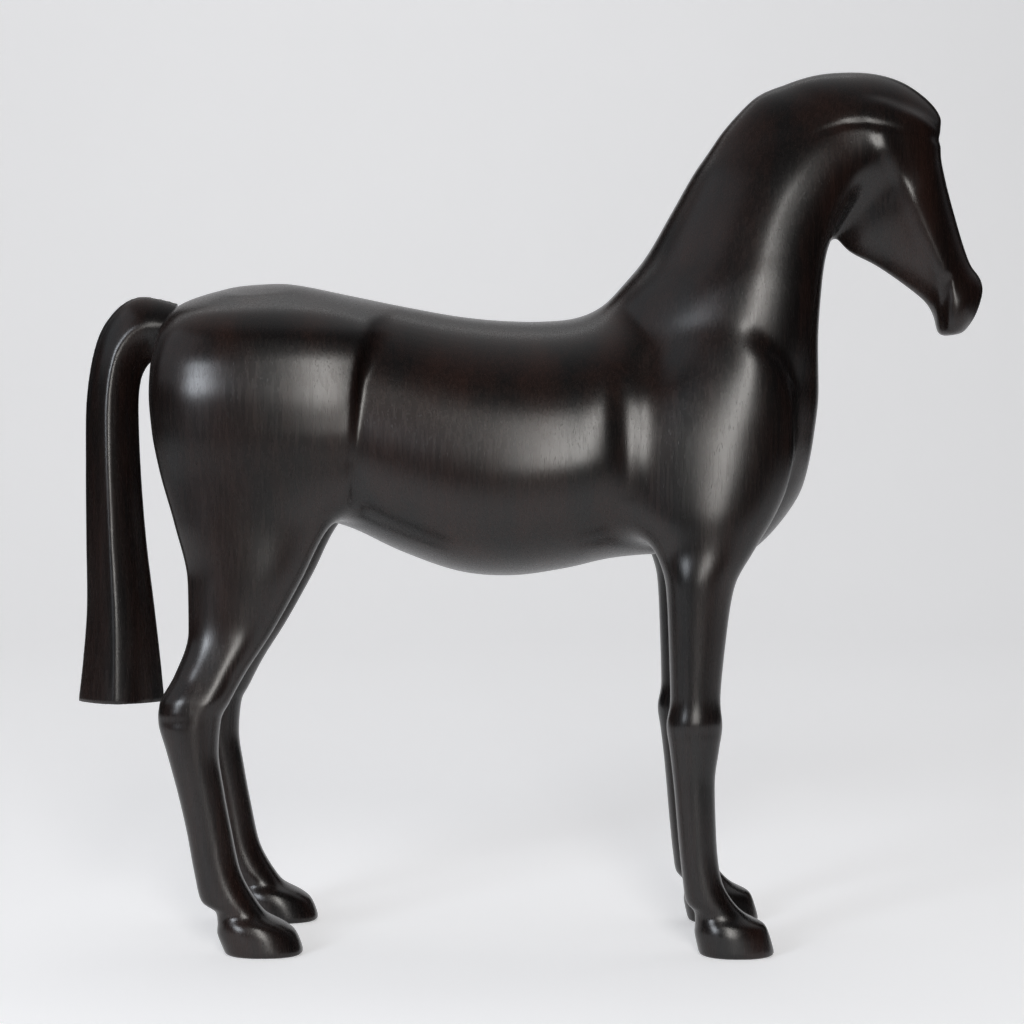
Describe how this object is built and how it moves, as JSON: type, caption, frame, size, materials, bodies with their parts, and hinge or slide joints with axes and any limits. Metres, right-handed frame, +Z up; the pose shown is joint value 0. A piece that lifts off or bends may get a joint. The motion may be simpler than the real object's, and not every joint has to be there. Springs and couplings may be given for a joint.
{
  "type": "horse figurine",
  "caption": "Standing horse with an arched neck and a hanging tail, carved from doweled hardwood blocks stained dark; a free-standing ornament.",
  "frame": {"origin": "on the floor under the middle of the figure, midway between muzzle and tail on its centre plane", "axes": "+X forward from tail to muzzle, +Y to the horse's left, +Z up"},
  "size_m": [0.5238, 0.1314, 0.5],
  "materials": {
    "stained_wood": "satin, dark stain over open pores",
    "dowel_wood": "bare"
  },
  "bodies": {
    "root": {"right_hindquarter": "stained_wood", "left_hindquarter": "stained_wood", "right_barrel": "stained_wood", "left_barrel": "stained_wood", "right_forehand": "stained_wood", "left_forehand": "stained_wood", "neck": "stained_wood", "head": "stained_wood", "tail": "stained_wood", "right_foreleg": "stained_wood", "left_foreleg": "stained_wood", "right_hind_leg": "stained_wood", "left_hind_leg": "stained_wood", "flank_dowels": "dowel_wood", "girth_dowels": "dowel_wood", "neck_dowels": "dowel_wood", "head_dowels": "dowel_wood", "tail_dowel": "dowel_wood", "right_foreleg_dowels": "dowel_wood", "left_foreleg_dowels": "dowel_wood", "right_hind_leg_dowels": "dowel_wood", "left_hind_leg_dowels": "dowel_wood"}
  },
  "joints": []
}
